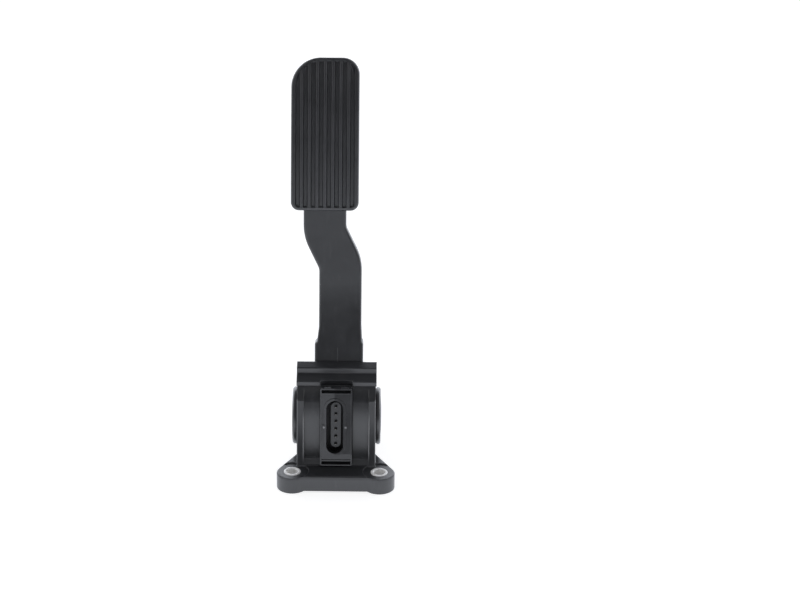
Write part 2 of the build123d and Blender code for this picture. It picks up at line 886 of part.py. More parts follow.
def connector_gasket():
    outer = slot_face(block_low + gasket_margin, block_high - gasket_margin, block_width - 2 * gasket_margin)
    inner = slot_face(tail_low, tail_high, tail_width)
    return front_solid(outer - inner, -recess_depth, block_rear)


def sensor_board():
    low = socket_middle - board_length / 2
    board = front_box(board_width, low, low + board_length, board_rear, tail_rear)
    for blade in terminals(board_rear - 1, tail_rear + 1):
        board -= blade
    return board


def hall_sensors():
    chips = []
    for side in (1, -1):
        chips.append(front_box(
            chip_width, sensor_height - chip_length / 2, sensor_height + chip_length / 2,
            chip_rear, board_rear, side * chip_offset,
        ))
    return chips


magnet_middle = (carrier_start_angle + carrier_end_angle) / 2


def magnets():
    face = ring_sector(
        magnet_radius - magnet_thickness, magnet_radius,
        magnet_middle - magnet_angle / 2, magnet_middle + magnet_angle / 2,
    )
    return [
        side_solid(face, x - magnet_width / 2, x + magnet_width / 2) for x in (chip_offset, -chip_offset)
    ]


def magnet_carrier():
    face = ring_sector(hub_radius, magnet_radius, carrier_start_angle, carrier_end_angle)
    carrier = side_solid(face, -carrier_width / 2, carrier_width / 2)
    for magnet in magnets():
        carrier -= magnet
    return carrier


def left(shape):
    return mirror(shape, Plane.YZ)


parts = {
    "housing": housing(),
    "top_cover": top_cover(),
    "right_bearing_cap": bearing_cap(),
    "left_bearing_cap": left(bearing_cap()),
    "right_cap_seal": cap_seal(),
    "left_cap_seal": left(cap_seal()),
    "right_bush": bush(),
    "left_bush": left(bush()),
    "mounting_sleeves": mounting_sleeves(),
    "connector_block": connector_block(),
    "connector_gasket": connector_gasket(),
    "connector_terminals": terminals(board_rear - terminal_tail, socket_bottom + terminal_length),
    "sensor_board": sensor_board(),
    "hall_sensors": hall_sensors(),
    "idle_stop_buffer": idle_stop_buffer(),
    "full_throttle_buffer": full_throttle_buffer(),
    "friction_shell": friction_shell(),
    "right_return_spring": return_spring(),
    "left_return_spring": left(return_spring()),
    "pivot_shaft": pivot_shaft(),
    "pedal_arm": pedal_arm(),
    "pedal_pad": pedal_pad(),
    "magnet_carrier": magnet_carrier(),
    "sensor_magnets": magnets(),
}

os.makedirs("parts", exist_ok=True)
for name, shape in parts.items():
    solids = shape if isinstance(shape, list) else [shape]
    export_step(Compound([solid for piece in solids for solid in piece.solids()]), f"parts/{name}.step")
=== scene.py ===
import json
import math

import bmesh
import bpy
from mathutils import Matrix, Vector


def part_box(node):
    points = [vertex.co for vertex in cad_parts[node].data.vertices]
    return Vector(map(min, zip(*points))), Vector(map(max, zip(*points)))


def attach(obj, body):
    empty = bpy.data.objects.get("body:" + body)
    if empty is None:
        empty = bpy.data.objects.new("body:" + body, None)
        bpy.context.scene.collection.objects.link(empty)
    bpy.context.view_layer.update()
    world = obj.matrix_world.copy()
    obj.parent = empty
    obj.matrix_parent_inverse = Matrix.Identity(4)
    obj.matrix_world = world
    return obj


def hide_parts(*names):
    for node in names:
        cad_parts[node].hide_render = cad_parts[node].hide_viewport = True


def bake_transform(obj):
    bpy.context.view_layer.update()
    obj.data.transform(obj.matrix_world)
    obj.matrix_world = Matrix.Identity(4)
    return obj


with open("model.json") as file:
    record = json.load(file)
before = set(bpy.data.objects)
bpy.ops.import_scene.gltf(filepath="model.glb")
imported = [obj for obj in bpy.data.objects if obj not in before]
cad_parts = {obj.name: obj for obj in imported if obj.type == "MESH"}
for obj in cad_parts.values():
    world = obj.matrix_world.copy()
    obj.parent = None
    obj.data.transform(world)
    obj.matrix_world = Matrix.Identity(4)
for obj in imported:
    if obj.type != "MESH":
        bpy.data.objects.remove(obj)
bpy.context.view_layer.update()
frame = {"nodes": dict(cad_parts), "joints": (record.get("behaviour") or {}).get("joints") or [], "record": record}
cad = frame["nodes"]
pivot = Vector(frame["joints"][0]["pos_m"])
print("frame loaded:", len(cad), "nodes")


# node helpers, shared by materials, room and geometry trees

def nodeTree(owner):
    owner.use_nodes = True
    owner.node_tree.nodes.clear()
    return owner.node_tree


def feed(tree, socket, value):
    if isinstance(value, bpy.types.NodeSocket):
        tree.links.new(value, socket)
    else:
        socket.default_value = value


def addNode(tree, kind, inputs=None, **settings):
    node = tree.nodes.new(kind)
    for name, value in settings.items():
        setattr(node, name, value)
    for name, value in (inputs or {}).items():
        feed(tree, node.inputs[name], value)
    return node


def mathNode(tree, operation, first, second=0.0, clamp=False):
    node = addNode(tree, "ShaderNodeMath", {0: first, 1: second}, operation=operation, use_clamp=clamp)
    return node.outputs[0]


def product(tree, *shares):
    whole = shares[0]
    for share in shares[1:]:
        whole = mathNode(tree, "MULTIPLY", whole, share)
    return whole


def rangeNode(tree, value, low, high, toLow=0.0, toHigh=1.0, step="SMOOTHSTEP"):
    limits = {"Value": value, "From Min": low, "From Max": high, "To Min": toLow, "To Max": toHigh}
    return addNode(tree, "ShaderNodeMapRange", limits, interpolation_type=step).outputs["Result"]


def vectorNode(tree, operation, inputs, output=0):
    return addNode(tree, "ShaderNodeVectorMath", inputs, operation=operation).outputs[output]


def dotNode(tree, first, second):
    return vectorNode(tree, "DOT_PRODUCT", {0: first, 1: second}, "Value")


# camera

cameraView = dict(
    aim=(0.0, 0.050, 0.135),        # point of the pedal on the lens axis
    aimPixel=(337.2, 276.0),        # where that point lands in the 800 x 600 frame
    frameSize=(800.0, 600.0),
    distance=1.30,
    elevation=24.0,
    azimuth=1.2,
    lens=86.2,
    clipEnd=60.0,
)


def addCamera(view):
    turn = math.radians(view["azimuth"])
    lift = math.radians(view["elevation"])
    back = Vector((math.sin(turn) * math.cos(lift), -math.cos(turn) * math.cos(lift), math.sin(lift)))
    data = bpy.data.cameras.new("photoCamera")
    data.lens = view["lens"]
    width, height = view["frameSize"]
    data.shift_x = (width / 2 - view["aimPixel"][0]) / width
    data.shift_y = (view["aimPixel"][1] - height / 2) / width
    data.clip_end = view["clipEnd"]
    camera = bpy.data.objects.new("photoCamera", data)
    camera.location = Vector(view["aim"]) + back * view["distance"]
    camera.rotation_mode = "QUATERNION"
    camera.rotation_quaternion = (-back).to_track_quat("-Z", "Y")
    bpy.context.scene.collection.objects.link(camera)
    bpy.context.scene.camera = camera


addCamera(cameraView)
bpy.context.scene.view_settings.view_transform = "Standard"
print("camera set")


# floor, room and lamps

studio = dict(
    floorSize=24.0,
    floorColour=0.50,
    floorGlow=0.79,                 # lift of the white floor where the camera sees it
    floorMirror=1.0,                # and in reflections
    frontHorizon=0.98,              # room brightness in front of the pedal, near the horizon
    frontCeiling=0.125,             # and above it
    frontEdge=(0.05, 0.22),         # sine of the elevations between which it falls off
    backHorizon=2.50,               # white backdrop behind the pedal
    backCeiling=0.13,
    backEdge=(0.45, 0.66),
    sideEdge=(-0.1, 0.35),          # where the front of the room passes into the back
    tint=(0.95, 0.985, 1.06),       # slightly cool room
    lampPowers=(7.5, 6.5),          # left and right
    lampSize=1.6,
    lampPlace=(1.3, -0.5, 1.55),    # of the right one, mirrored for the left
)


def addFloor(look):
    half = look["floorSize"] / 2
    mesh = bpy.data.meshes.new("floor")
    corners = [(-half, -half, 0), (half, -half, 0), (half, half, 0), (-half, half, 0)]
    mesh.from_pydata(corners, [], [(0, 1, 2, 3)])
    floor = bpy.data.objects.new("floor", mesh)
    bpy.context.scene.collection.objects.link(floor)
    material = bpy.data.materials.new("whiteFloor")
    tree = nodeTree(material)
    level = look["floorColour"]
    matte = addNode(tree, "ShaderNodeBsdfDiffuse", {"Color": (level, level, level, 1)})
    rays = addNode(tree, "ShaderNodeLightPath").outputs
    seen = mathNode(tree, "MULTIPLY", rays["Is Camera Ray"], look["floorGlow"])
    mirrored = mathNode(tree, "ADD", rays["Is Glossy Ray"], rays["Is Transmission Ray"], clamp=True)
    mirrored = mathNode(tree, "MULTIPLY", mirrored, look["floorMirror"])
    surface = matte.outputs[0]
    for strength, colour in ((seen, (1, 1, 1)), (mirrored, look["tint"])):
        glow = addNode(tree, "ShaderNodeEmission", {"Color": (*colour, 1), "Strength": strength})
        surface = addNode(tree, "ShaderNodeAddShader", {0: surface, 1: glow.outputs[0]}).outputs[0]
    addNode(tree, "ShaderNodeOutputMaterial", {"Surface": surface})
    mesh.materials.append(material)


def addRoom(look):
    world = bpy.data.worlds.new("studioRoom")
    bpy.context.scene.world = world
    tree = nodeTree(world)
    place = addNode(tree, "ShaderNodeTexCoord").outputs["Generated"]
    axes = addNode(tree, "ShaderNodeSeparateXYZ", {0: place}).outputs
    front = rangeNode(tree, axes["Z"], *look["frontEdge"], look["frontHorizon"], look["frontCeiling"])
    back = rangeNode(tree, axes["Z"], *look["backEdge"], look["backHorizon"], look["backCeiling"])
    behind = rangeNode(tree, axes["Y"], *look["sideEdge"])
    level = addNode(tree, "ShaderNodeMix", {0: behind, 2: front, 3: back}, data_type="FLOAT").outputs[0]
    sky = addNode(tree, "ShaderNodeBackground", {"Color": (*look["tint"], 1), "Strength": level})
    addNode(tree, "ShaderNodeOutputWorld", {"Surface": sky.outputs[0]})


def addLamps(look):
    x, y, z = look["lampPlace"]
    for name, side, power in zip(("leftLamp", "rightLamp"), (-1, 1), look["lampPowers"]):
        data = bpy.data.lights.new(name, "AREA")
        data.energy = power
        data.size = look["lampSize"]
        lamp = bpy.data.objects.new(name, data)
        lamp.location = (side * x, y, z)
        aim = Vector(cameraView["aim"]) - lamp.location
        lamp.rotation_mode = "QUATERNION"
        lamp.rotation_quaternion = aim.to_track_quat("-Z", "Y")
        bpy.context.scene.collection.objects.link(lamp)


addFloor(studio)
addRoom(studio)
addLamps(studio)
print("stage set")


# finishes

noiseBand = (0.3, 0.7)              # most of a noise lies between these
edgeBend = (0.995, 0.86)            # cosine of the bend at which an edge starts and is full


def startFinish(name):
    material = bpy.data.materials.new(name)
    tree = nodeTree(material)
    bsdf = addNode(tree, "ShaderNodeBsdfPrincipled")
    addNode(tree, "ShaderNodeOutputMaterial", {"Surface": bsdf.outputs[0]})
    return material, tree, bsdf


def objectPlace(tree, stretch=None):
    place = addNode(tree, "ShaderNodeTexCoord").outputs["Object"]
    if stretch:
        place = addNode(tree, "ShaderNodeMapping", {"Vector": place, "Scale": stretch}).outputs[0]
    return place


def noiseNode(tree, place, size, detail=2.0, distortion=0.0):
    inputs = {"Vector": place, "Scale": 1 / size, "Detail": detail, "Distortion": distortion}
    return addNode(tree, "ShaderNodeTexNoise", inputs).outputs["Fac"]


def mixColours(tree, share, first, second):
    node = addNode(tree, "ShaderNodeMix", {0: share}, data_type="RGBA")
    for socket, value in ((node.inputs[6], first), (node.inputs[7], second)):
        feed(tree, socket, value if isinstance(value, bpy.types.NodeSocket) else (*value, 1))
    return node.outputs[2]


def roundedNormal(tree, radius):
    return addNode(tree, "ShaderNodeBevel", {"Radius": radius}, samples=6).outputs[0]


def edgeShare(tree, rounded):
    # 0 on the faces, rising to 1 along the edges that the rounded normal bends over
    true = addNode(tree, "ShaderNodeNewGeometry").outputs["Normal"]
    return rangeNode(tree, dotNode(tree, rounded, true), *edgeBend)


def bumpNode(tree, height, distance, normal=None):
    inputs = {"Height": height, "Distance": distance, "Strength": 1.0}
    if normal:
        inputs["Normal"] = normal
    return addNode(tree, "ShaderNodeBump", inputs).outputs[0]


def splitPlace(tree, place, pair):
    axes = addNode(tree, "ShaderNodeSeparateXYZ", {0: place}).outputs
    across = mathNode(tree, "ABSOLUTE", axes["X"]) if pair else axes["X"]
    return across, axes["Y"], axes["Z"]


def regionShare(tree, place, region):
    # 1 inside the region's box on faces that look its way, 0 elsewhere
    axes = splitPlace(tree, place, region["pair"])
    normal = addNode(tree, "ShaderNodeNewGeometry").outputs["True Normal"]
    shares = [mathNode(tree, "GREATER_THAN", dotNode(tree, normal, region["facing"]), region["match"])]
    for value, low, high in zip(axes, region["low"], region["high"]):
        shares.append(mathNode(tree, "GREATER_THAN", value, low))
        shares.append(mathNode(tree, "LESS_THAN", value, high))
    if "level" in region:
        height = dotNode(tree, place, region["facing"])
        shares.append(mathNode(tree, "GREATER_THAN", height, region["level"]))
    if "ramp" in region:
        shares.append(rangeNode(tree, axes[2], *region["ramp"], step="LINEAR"))
    return product(tree, *shares)


def tipNormal(tree, normal, share, lean):
    # turns the normal towards lean, as far as share says
    tip = vectorNode(tree, "SCALE", {0: lean, "Scale": share})
    tipped = vectorNode(tree, "ADD", {0: normal, 1: tip})
    return vectorNode(tree, "NORMALIZE", {0: tipped})


def socketShadeAndHighlights(tree, place, colour, rough, socket):
    # painted shade darkens the socket's floor, which the mould also leaves rougher; painted highlights make pale
    # spots on its latches
    deep = rangeNode(tree, dotNode(tree, place, socket["axis"]), *socket["floorRange"])
    colour = mixColours(tree, deep, colour, socket["floorColour"])
    rough = mathNode(tree, "ADD", rough, product(tree, deep, socket["floorRoughness"]))
    # painted highlights: pale spots on the latch nubs
    for spot in socket["latches"]:
        away = vectorNode(tree, "DISTANCE", {0: place, 1: spot}, "Value")
        colour = mixColours(tree, rangeNode(tree, away, *socket["latchHighlightReach"]), colour, socket["latchHighlightColour"])
    return colour, rough


def seamAndHighlightLine(tree, place, seam):
    # 1 along the middle of the line, fading to its sides and ends
    across, depth, height = splitPlace(tree, place, seam["pair"])
    away = mathNode(tree, "ABSOLUTE", mathNode(tree, "SUBTRACT", across, seam["middle"]))
    low, high = seam["heights"]
    return product(
        tree,
        rangeNode(tree, away, seam["width"], 0.0),
        rangeNode(tree, height, high, high - seam["fade"]),
        rangeNode(tree, height, low, low + seam["fade"]),
        mathNode(tree, "LESS_THAN", depth, seam["back"]),
    )


def mouldedFinish(name, look):
    # black glass-filled plastic: eroded grain, flow streaks, cloudy tone, edges rubbed a little paler
    material, tree, bsdf = startFinish(name)
    place = objectPlace(tree)
    cloud = noiseNode(tree, place, look["cloudSize"], detail=3.0, distortion=0.6)
    streak = noiseNode(tree, objectPlace(tree, look["flow"]), look["streakSize"], detail=4.0, distortion=0.3)
    grain = noiseNode(tree, place, look["grainSize"])
    rounded = roundedNormal(tree, look["edgeRadius"])
    rubbed = product(tree, edgeShare(tree, rounded), rangeNode(tree, cloud, *look["rubBand"]))
    streaked = rangeNode(tree, streak, *look["streakBand"], 0.0, look["streakShare"])
    colour = mixColours(tree, rangeNode(tree, cloud, *noiseBand), look["colour"], look["cloudColour"])
    colour = mixColours(tree, streaked, colour, look["wornColour"])
    colour = mixColours(tree, product(tree, rubbed, look["wear"]), colour, look["wornColour"])
    spread = look["roughnessSpread"]
    rough = rangeNode(tree, cloud, *noiseBand, look["roughness"] - spread, look["roughness"] + spread)
    rough = mathNode(tree, "ADD", rough, rangeNode(tree, streak, *look["dullBand"], 0.0, spread))
    rough = mathNode(tree, "SUBTRACT", rough, product(tree, rubbed, look["polish"]))
    bump = bumpNode(tree, grain, look["grainHeight"], rounded)
    bump = bumpNode(tree, cloud, look["sinkHeight"], bump)
    # painted shade in the socket and painted highlights on its latch nubs
    if "socket" in look:
        colour, rough = socketShadeAndHighlights(tree, place, colour, rough, look["socket"])
    for region in look.get("tips", ()):
        bump = tipNormal(tree, bump, regionShare(tree, place, region), region["lean"])
    # a pale line over a fine ridge: a mould seam on the collar, a painted highlight on the pillars
    if "seam" in look:
        ridge = seamAndHighlightLine(tree, place, look["seam"])
        bump = bumpNode(tree, ridge, look["seam"]["ridge"], bump)
        colour = mixColours(tree, ridge, colour, look["seam"]["colour"])
    tree.links.new(colour, bsdf.inputs["Base Color"])
    tree.links.new(rough, bsdf.inputs["Roughness"])
    tree.links.new(bump, bsdf.inputs["Normal"])
    bsdf.inputs["IOR"].default_value = look["gloss"]
    return material


def varied(base, **changes):
    return {**base, **changes}


housingLook = dict(
    colour=(0.021, 0.0218, 0.0245),
    cloudColour=(0.025, 0.0258, 0.0285),
    wornColour=(0.14, 0.142, 0.148),
    cloudSize=0.018,
    flow=(1.0, 1.0, 0.25),          # streaks run upwards
    streakSize=0.0025,
    streakBand=(0.52, 0.78),
    streakShare=0.10,
    dullBand=(0.4, 0.8),            # streaks that are rougher too
    grainSize=0.00032,
    grainHeight=0.000018,
    sinkHeight=0.00012,
    edgeRadius=0.0007,
    rubBand=(0.35, 0.65, 0.3, 1.0),     # noise levels, then the rubbing at each
    wear=0.55,
    polish=0.06,
    roughness=0.33,
    roughnessSpread=0.03,
    gloss=1.75,                     # refractive index, for the strength of its reflections
)

# soft changes of slope, each in a box and on the faces that look one way
pillarFoot = dict(                  # the pillars sweep out softly towards their feet
    pair=True,                      # on both sides of the middle
    low=(0.0218, 0.0, 0.01205),
    high=(0.028, 0.030, 0.042),
    facing=(0, -1, 0),
    match=0.5,                      # least cosine to that direction
    ramp=(0.042, 0.01205),          # heights where it starts and where it is full
    lean=(0, 0, 0.28),
)
flangeEdge = dict(                  # chamfer round flange and lugs, rounded over more than it is cut
    pair=True,
    low=(0.0, -0.02, 0.01045),
    high=(0.05, 0.12, 0.01118),
    facing=(0, 0, 1),
    match=0.5,
    lean=(0, 0, -0.7),
)
recessLedge = dict(                 # ledge under the front panels, drafted by the mould
    pair=True,
    low=(0.0, 0.005, 0.0122),
    high=(0.0221, 0.024, 0.0155),
    facing=(0, 0, 1),
    match=0.2,
    lean=(0, -3.0, 0),
)
rightHalf = dict(                   # of the connector's face, leans back a little more than the left
    pair=False,
    low=(-0.0012, 0.0, 0.0205),
    high=(0.012, 0.030, 0.070),
    facing=(0, -0.966, 0.259),
    match=0.9,
    level=-0.0035,                  # only in front of the socket's inside
    lean=(0, 0.022, 0.082),
)
armFoot = dict(                     # lower arm and collar, a touch further back than the arm's curve
    pair=True,
    low=(0.0, -0.02, 0.060),
    high=(0.03, 0.12, 0.20),
    facing=(0, -1, 0),
    match=0.5,
    ramp=(0.172, 0.146),
    lean=(0, 0, 0.033),
)

# pale lines over fine ridges: a painted highlight along the pillars' inner edges, and a mould's parting line on
# the collar
# painted highlight along each pillar's inner edge, over a fine ridge
pillarEdgeHighlight = dict(
    pair=True,
    middle=0.0224,
    width=0.0004,
    heights=(0.013, 0.050),
    fade=0.010,
    back=0.024,                     # only in front of this
    ridge=0.00005,
    colour=(0.55, 0.55, 0.56),
)
collarSeam = dict(
    pair=False,
    middle=0.0002,
    width=0.00022,
    heights=(0.070, 0.0825),
    fade=0.002,
    back=1.0,
    ridge=0.00008,
    colour=(0.10, 0.102, 0.108),
)
plugSocket = dict(
    axis=(0.0, -0.966, 0.259),
    floorRange=(-0.0098, -0.0112),      # along that axis, from the rim's side to the floor
    # painted shade, darker colour towards the socket's floor
    floorColour=(0.009, 0.009, 0.010),
    floorRoughness=0.45,            # on top of the plastic's own
    # painted highlights on the two latch nubs
    latches=((0.0065, 0.0121, 0.0389), (-0.0083, 0.0121, 0.0389)),
    latchHighlightReach=(0.0011, 0.0004),
    latchHighlightColour=(0.42, 0.42, 0.43),
)
housingFinish = mouldedFinish("housingPlastic", varied(
    housingLook, tips=(pillarFoot, flangeEdge, recessLedge), seam=pillarEdgeHighlight))
coverFinish = mouldedFinish("coverPlastic", varied(housingLook, flow=(0.25, 1.0, 1.0), roughness=0.35))
capFinish = mouldedFinish("capPlastic", varied(
    housingLook, colour=(0.055, 0.056, 0.059), cloudColour=(0.062, 0.063, 0.066), cloudSize=0.010))
connectorFinish = mouldedFinish("connectorPlastic", varied(
    housingLook, grainSize=0.0002, grainHeight=0.000006, roughness=0.30, edgeRadius=0.0003,
    socket=plugSocket, tips=(rightHalf,)))
armFinish = mouldedFinish("armPlastic", varied(
    housingLook, streakSize=0.004, flow=(1.0, 1.0, 0.12), roughness=0.35, tips=(armFoot,), seam=collarSeam))
carrierFinish = mouldedFinish("carrierPlastic", varied(
    housingLook, colour=(0.085, 0.086, 0.09), cloudColour=(0.1, 0.1, 0.104), wornColour=(0.2, 0.2, 0.2),
    edgeRadius=0.0002))
chipFinish = mouldedFinish("chipEpoxy", varied(
    housingLook, colour=(0.024, 0.024, 0.025), grainSize=0.0001, grainHeight=0.000008, roughness=0.55,
    edgeRadius=0.00015))
shellFinish = mouldedFinish("shellPolymer", varied(
    housingLook, colour=(0.29, 0.25, 0.18), cloudColour=(0.33, 0.29, 0.21), wornColour=(0.4, 0.37, 0.3),
    roughness=0.42, edgeRadius=0.0003))
bushFinish = mouldedFinish("bushPolymer", varied(
    housingLook, colour=(0.74, 0.72, 0.65), cloudColour=(0.79, 0.77, 0.71), wornColour=(0.85, 0.84, 0.8),
    grainHeight=0.000006, roughness=0.32, edgeRadius=0.0002))


def rubberFinish(name, look):
    # matt rubber: dusty mottle, fine pebble, tops polished by the shoe, pale bloom down in the grooves
    material, tree, bsdf = startFinish(name)
    place = objectPlace(tree)
    mottle = noiseNode(tree, place, look["mottleSize"], detail=4.0, distortion=0.8)
    cells = {"Vector": place, "Scale": 1 / look["pebbleSize"]}
    pebble = addNode(tree, "ShaderNodeTexVoronoi", cells).outputs["Distance"]
    drawn = objectPlace(tree, look["scuffStretch"])
    scuff = noiseNode(tree, drawn, look["scuffSize"], detail=5.0, distortion=0.4)
    colour = mixColours(tree, rangeNode(tree, mottle, *noiseBand), look["colour"], look["mottleColour"])
    scuffed = rangeNode(tree, scuff, *look["scuffBand"], 0.0, look["scuffShare"])
    if look["grooved"]:
        groove = addNode(tree, "ShaderNodeAttribute", attribute_name="groove").outputs["Fac"]
        dust = rangeNode(tree, groove, *look["dustBand"], 0.0, look["dustShare"])
        colour = mixColours(tree, dust, colour, look["dustColour"])
        scuffed = product(tree, scuffed, rangeNode(tree, groove, *look["topBand"], 1.0, 0.0))
    colour = mixColours(tree, scuffed, colour, look["dustColour"])
    tree.links.new(colour, bsdf.inputs["Base Color"])
    spread = look["roughnessSpread"]
    rough = rangeNode(tree, mottle, *noiseBand, look["roughness"] - spread, look["roughness"] + spread)
    rough = mathNode(tree, "SUBTRACT", rough, product(tree, scuffed, look["polish"]))
    tree.links.new(rough, bsdf.inputs["Roughness"])
    bump = bumpNode(tree, pebble, look["pebbleHeight"])
    tree.links.new(bumpNode(tree, mottle, look["mottleHeight"], bump), bsdf.inputs["Normal"])
    bsdf.inputs["IOR"].default_value = look["gloss"]
    return material


padLook = dict(
    colour=(0.027, 0.0277, 0.031),
    mottleColour=(0.033, 0.0337, 0.037),
    dustColour=(0.085, 0.086, 0.09),
    mottleSize=0.012,
    mottleHeight=0.00006,
    pebbleSize=0.00045,
    pebbleHeight=0.00002,
    scuffStretch=(1.0, 0.35, 0.35),
    scuffSize=0.006,
    scuffBand=(0.56, 0.74),
    scuffShare=0.18,
    topBand=(0.0, 0.15),            # share of a groove's depth that the shoe still rubs
    dustBand=(0.75, 1.0),           # share of its depth where dust stays
    dustShare=0.25,
    grooved=True,
    roughness=0.36,
    roughnessSpread=0.04,
    polish=0.25,
    gloss=1.72,
)
padFinish = rubberFinish("padRubber", padLook)
sealFinish = rubberFinish("sealRubber", varied(
    padLook, colour=(0.019, 0.019, 0.02), grooved=False, roughness=0.5))


def metalFinish(name, look):
    # plated or drawn metal: cloudy plating, fine tool lines, a few dull specks
    material, tree, bsdf = startFinish(name)
    place = objectPlace(tree)
    cloud = noiseNode(tree, place, look["cloudSize"], detail=4.0, distortion=0.5)
    lines = noiseNode(tree, objectPlace(tree, look["lineStretch"]), look["lineSize"], detail=3.0)
    speck = noiseNode(tree, place, look["speckSize"])
    specked = rangeNode(tree, speck, *look["speckBand"], 0.0, look["speckShare"])
    colour = mixColours(tree, rangeNode(tree, cloud, *noiseBand), look["colour"], look["cloudColour"])
    colour = mixColours(tree, specked, colour, look["speckColour"])
    tree.links.new(colour, bsdf.inputs["Base Color"])
    bsdf.inputs["Metallic"].default_value = look["metallic"]
    finer, coarser = look["roughnessSpread"]
    rough = rangeNode(tree, lines, *noiseBand, look["roughness"] - finer, look["roughness"] + coarser)
    tree.links.new(rough, bsdf.inputs["Roughness"])
    tree.links.new(bumpNode(tree, lines, look["lineHeight"]), bsdf.inputs["Normal"])
    return material


sleeveLook = dict(
    colour=(0.95, 0.94, 0.93),
    cloudColour=(0.86, 0.85, 0.825),
    speckColour=(0.55, 0.55, 0.55),
    cloudSize=0.003,
    lineStretch=(0.2, 0.2, 3.0),    # turning lines round the sleeve
    lineSize=0.0006,
    lineHeight=0.000008,
    speckSize=0.0007,
    speckBand=(0.64, 0.74),
    speckShare=0.6,
    metallic=0.14,                  # dull plating scatters most of the light
    roughness=0.36,
    roughnessSpread=(0.06, 0.08),   # down and up
)
sleeveFinish = metalFinish("zincSteel", sleeveLook)
shaftFinish = metalFinish("groundSteel", varied(
    sleeveLook, colour=(0.58, 0.58, 0.59), cloudColour=(0.52, 0.52, 0.54), lineStretch=(3.0, 0.2, 0.2),
    metallic=1.0, roughness=0.22))
springFinish = metalFinish("oiledWire", varied(
    sleeveLook, colour=(0.30, 0.29, 0.28), cloudColour=(0.22, 0.21, 0.21), speckColour=(0.12, 0.10, 0.09),
    metallic=1.0, roughness=0.34))
# tin blades coloured far darker than bare tin, painted shade for blades down in the socket
terminalFinish = metalFinish("shadedTinPlate", varied(
    sleeveLook, colour=(0.26, 0.25, 0.23), cloudColour=(0.18, 0.175, 0.16), lineSize=0.0003,
    metallic=1.0, roughness=0.38))
magnetFinish = metalFinish("sinteredMagnet", varied(
    sleeveLook, colour=(0.24, 0.24, 0.25), cloudColour=(0.30, 0.30, 0.31), speckSize=0.0003,
    metallic=1.0, roughness=0.45))


def boardFinish(name, look):
    # lacquered laminate with copper tracks that show through as paler green
    material, tree, bsdf = startFinish(name)
    place = objectPlace(tree)
    weave = noiseNode(tree, place, look["weaveSize"])
    tracks = {"Vector": place, "Scale": 1 / look["trackPitch"], "Mortar Size": look["trackWidth"]}
    track = addNode(tree, "ShaderNodeTexBrick", tracks).outputs["Fac"]
    colour = mixColours(tree, rangeNode(tree, weave, *noiseBand), look["colour"], look["weaveColour"])
    tree.links.new(mixColours(tree, track, colour, look["trackColour"]), bsdf.inputs["Base Color"])
    spread = look["roughnessSpread"]
    rough = rangeNode(tree, weave, *noiseBand, look["roughness"] - spread, look["roughness"] + spread)
    tree.links.new(rough, bsdf.inputs["Roughness"])
    tree.links.new(bumpNode(tree, track, look["trackHeight"]), bsdf.inputs["Normal"])
    return material


boardLook = dict(
    colour=(0.035, 0.16, 0.07),
    weaveColour=(0.045, 0.19, 0.085),
    trackColour=(0.09, 0.30, 0.13),
    weaveSize=0.0008,
    trackPitch=0.004,
    trackWidth=0.03,                # share of the pitch
    trackHeight=0.00002,
    roughness=0.32,
    roughnessSpread=0.05,
)
laminateFinish = boardFinish("boardLaminate", boardLook)

slotFinish = {
    "housing_plastic": housingFinish,
    "cover_plastic": coverFinish,
    "cap_plastic": capFinish,
    "connector_plastic": connectorFinish,
    "arm_plastic": armFinish,
    "pad_rubber": padFinish,
    "sleeve_steel": sleeveFinish,
    "shaft_steel": shaftFinish,
    "spring_steel": springFinish,
    "terminal_metal": terminalFinish,
    "bush_polymer": bushFinish,
    "shell_polymer": shellFinish,
    "seal_rubber": sealFinish,
    "board_laminate": laminateFinish,
    "chip_epoxy": chipFinish,
    "carrier_plastic": carrierFinish,
    "magnet": magnetFinish,
}
parts = frame["record"]["subparts"]
for part in parts:
    mesh = cad[part["node"]].data
    mesh.materials.clear()
    mesh.materials.append(slotFinish[part["material_slot"]])
print("finishes on", len(parts), "nodes")


# meshes and geometry trees

def leanAxes(degrees):
    # up along a plane that leans back by that much, and out of its front
    lean = math.radians(degrees)
    up = Vector((0, math.sin(lean), math.cos(lean)))
    out = Vector((0, -math.cos(lean), math.sin(lean)))
    return up, out


def bridgeRings(bm, rings):
    for outer, inner in zip(rings, rings[1:]):
        for index in range(len(outer)):
            after = (index + 1) % len(outer)
            bm.faces.new((outer[index], inner[index], inner[after], outer[after]))


def meshFrom(bm, name):
    mesh = bpy.data.meshes.new(name)
    bm.to_mesh(mesh)
    bm.free()
    return mesh


def newTree(name, inputs):
    tree = bpy.data.node_groups.new(name, "GeometryNodeTree")
    tree.interface.new_socket("Geometry", in_out="INPUT", socket_type="NodeSocketGeometry")
    for label, kind in inputs.items():
        tree.interface.new_socket(label, in_out="INPUT", socket_type="NodeSocket" + kind)
    tree.interface.new_socket("Geometry", in_out="OUTPUT", socket_type="NodeSocketGeometry")
    return tree, addNode(tree, "NodeGroupInput").outputs


def endTree(tree, geometry, material):
    whole = addNode(tree, "GeometryNodeRealizeInstances", {0: geometry})
    coated = addNode(tree, "GeometryNodeSetMaterial", {"Geometry": whole.outputs[0], "Material": material})
    addNode(tree, "NodeGroupOutput", {0: coated.outputs[0]})


def addPiece(name, mesh):
    piece = bpy.data.objects.new(name, mesh)
    bpy.context.scene.collection.objects.link(piece)
    return piece


def runTree(source, tree, values, name):
    # evaluates the tree on the source object and keeps the result as a plain mesh piece
    modifier = source.modifiers.new("tree", "NODES")
    modifier.node_group = tree
    for item in tree.interface.items_tree:
        if item.item_type == "SOCKET" and item.in_out == "INPUT" and item.name in values:
            modifier[item.identifier] = values[item.name]
    graph = bpy.context.evaluated_depsgraph_get()
    mesh = bpy.data.meshes.new_from_object(source.evaluated_get(graph))
    mesh.name = name
    bpy.data.objects.remove(source)
    return addPiece(name, mesh)


def finishPiece(piece, node):
    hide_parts(node)
    print(piece.name, len(piece.data.polygons), "faces")


# rubber pad: a flat blank with its outline, then grooves and the crowned bend by rule

